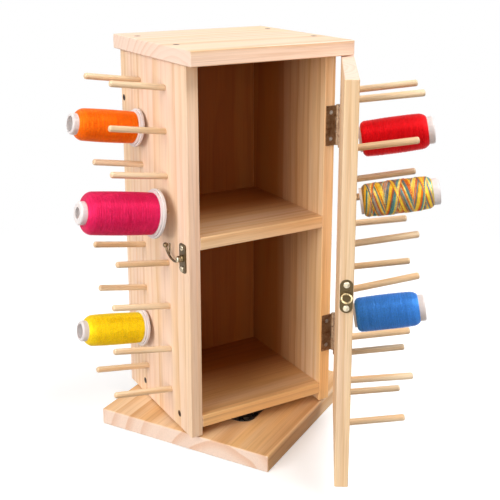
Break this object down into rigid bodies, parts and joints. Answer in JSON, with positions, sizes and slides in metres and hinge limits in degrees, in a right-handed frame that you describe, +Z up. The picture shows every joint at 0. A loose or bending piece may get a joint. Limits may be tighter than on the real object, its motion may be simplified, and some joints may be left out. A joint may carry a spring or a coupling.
{
  "type": "thread rack",
  "caption": "Square wooden cabinet on a turntable base, with tilted thread pegs on its faces and hinged door, an inner shelf, a hook latch and spools on some pegs.",
  "frame": {"origin": "on the floor at the turntable's axis, under the middle of the base board", "axes": "+Z up; the cabinet's open front faces -Y, its pegged side faces -X and its door hangs at the +X, -Y corner"},
  "size_m": [0.3004, 0.3527, 0.3924],
  "materials": {
    "pine": "clear matt pine with fine straight grain",
    "dowel": "plain sanded dowel",
    "black_steel": "black painted pressed steel",
    "bright_steel": "bright zinc",
    "dark_steel": "dark oxide screw heads",
    "hinge_steel": "dull zinc hinge",
    "antique_brass": "antique brass, worn on the edges",
    "white_plastic": "white moulded plastic",
    "orange_thread": "shiny wound thread",
    "pink_thread": "shiny wound thread",
    "yellow_thread": "shiny wound thread",
    "red_thread": "shiny wound thread",
    "multicolour_thread": "cross-wound thread in several colours",
    "blue_thread": "shiny wound thread"
  },
  "bodies": {
    "base": {"base_board": "pine", "turntable_lower_plate": "black_steel", "turntable_lower_screws": "bright_steel"},
    "ball_ring": {"turntable_balls": "bright_steel", "turntable_ball_cage": "bright_steel"},
    "cabinet": {"turntable_upper_plate": "black_steel", "turntable_upper_screws": "bright_steel", "bottom_board": "pine", "shelf": "pine", "left_panel": "pine", "right_panel": "pine", "back_panel": "pine", "top_board": "pine", "top_board_screws": "dark_steel", "left_side_screws": "dark_steel", "right_side_screws": "dark_steel", "left_front_pegs": "dowel", "left_back_pegs": "dowel", "back_left_pegs": "dowel", "back_right_pegs": "dowel", "latch_plate": "antique_brass", "latch_rivet": "antique_brass", "latch_plate_screws": "antique_brass", "upper_hinge_frame_leaf": "hinge_steel", "upper_hinge_pin": "hinge_steel", "upper_hinge_frame_screws": "bright_steel", "lower_hinge_frame_leaf": "hinge_steel", "lower_hinge_pin": "hinge_steel", "lower_hinge_frame_screws": "bright_steel"},
    "door": {"door_panel": "pine", "door_hinge_side_pegs": "dowel", "door_free_side_pegs": "dowel", "catch_plate": "antique_brass", "catch_plate_screws": "antique_brass", "upper_hinge_door_leaf": "hinge_steel", "upper_hinge_door_screws": "bright_steel", "lower_hinge_door_leaf": "hinge_steel", "lower_hinge_door_screws": "bright_steel"},
    "latch_hook": {"latch_hook": "antique_brass"},
    "orange_spool": {"orange_spool_core": "white_plastic", "orange_spool_thread": "orange_thread"},
    "pink_spool": {"pink_spool_core": "white_plastic", "pink_spool_thread": "pink_thread"},
    "yellow_spool": {"yellow_spool_core": "white_plastic", "yellow_spool_thread": "yellow_thread"},
    "red_spool": {"red_spool_core": "white_plastic", "red_spool_thread": "red_thread"},
    "multicolour_spool": {"multicolour_spool_core": "white_plastic", "multicolour_spool_thread": "multicolour_thread"},
    "blue_spool": {"blue_spool_core": "white_plastic", "blue_spool_thread": "blue_thread"}
  },
  "joints": [
    {"name": "turntable_spin", "type": "hinge", "parent": "base", "child": "cabinet", "pos_m": [0, 0, 0.0215], "axis": [0, 0, 1], "continuous": true},
    {"name": "ball_ring_spin", "type": "hinge", "parent": "base", "child": "ball_ring", "pos_m": [0, 0, 0.0215], "axis": [0, 0, 1], "continuous": true},
    {"name": "door_hinge", "type": "hinge", "parent": "cabinet", "child": "door", "pos_m": [0.0826, -0.07, 0.1983], "axis": [0, 0, 1], "range_deg": [-55, 125]},
    {"name": "latch_hook_swing", "type": "hinge", "parent": "cabinet", "child": "latch_hook", "pos_m": [-0.0848, -0.0575, 0.198], "axis": [1, 0, 0], "range_deg": [-95, 172]},
    {"name": "orange_spool_spin", "type": "hinge", "parent": "cabinet", "child": "orange_spool", "pos_m": [-0.11868, 0.03, 0.31133], "axis": [-0.9877, 0, 0.1564], "continuous": true},
    {"name": "pink_spool_spin", "type": "hinge", "parent": "cabinet", "child": "pink_spool", "pos_m": [-0.13021, -0.0248, 0.24031], "axis": [-0.9877, 0, 0.1564], "continuous": true},
    {"name": "yellow_spool_spin", "type": "hinge", "parent": "cabinet", "child": "yellow_spool", "pos_m": [-0.11868, 0.03, 0.10269], "axis": [-0.9877, 0, 0.1564], "continuous": true},
    {"name": "red_spool_spin", "type": "hinge", "parent": "door", "child": "red_spool", "pos_m": [0.09503, -0.14322, 0.31133], "axis": [0.8091, -0.5665, 0.1564], "continuous": true},
    {"name": "multicolour_spool_spin", "type": "hinge", "parent": "door", "child": "multicolour_spool", "pos_m": [0.06119, -0.19155, 0.26977], "axis": [0.8091, -0.5665, 0.1564], "continuous": true},
    {"name": "blue_spool_spin", "type": "hinge", "parent": "door", "child": "blue_spool", "pos_m": [0.09503, -0.14322, 0.1391], "axis": [0.8091, -0.5665, 0.1564], "continuous": true}
  ],
  "couplings": [
    {"joint": "ball_ring_spin", "follows": "turntable_spin", "ratio": 0.5}
  ]
}
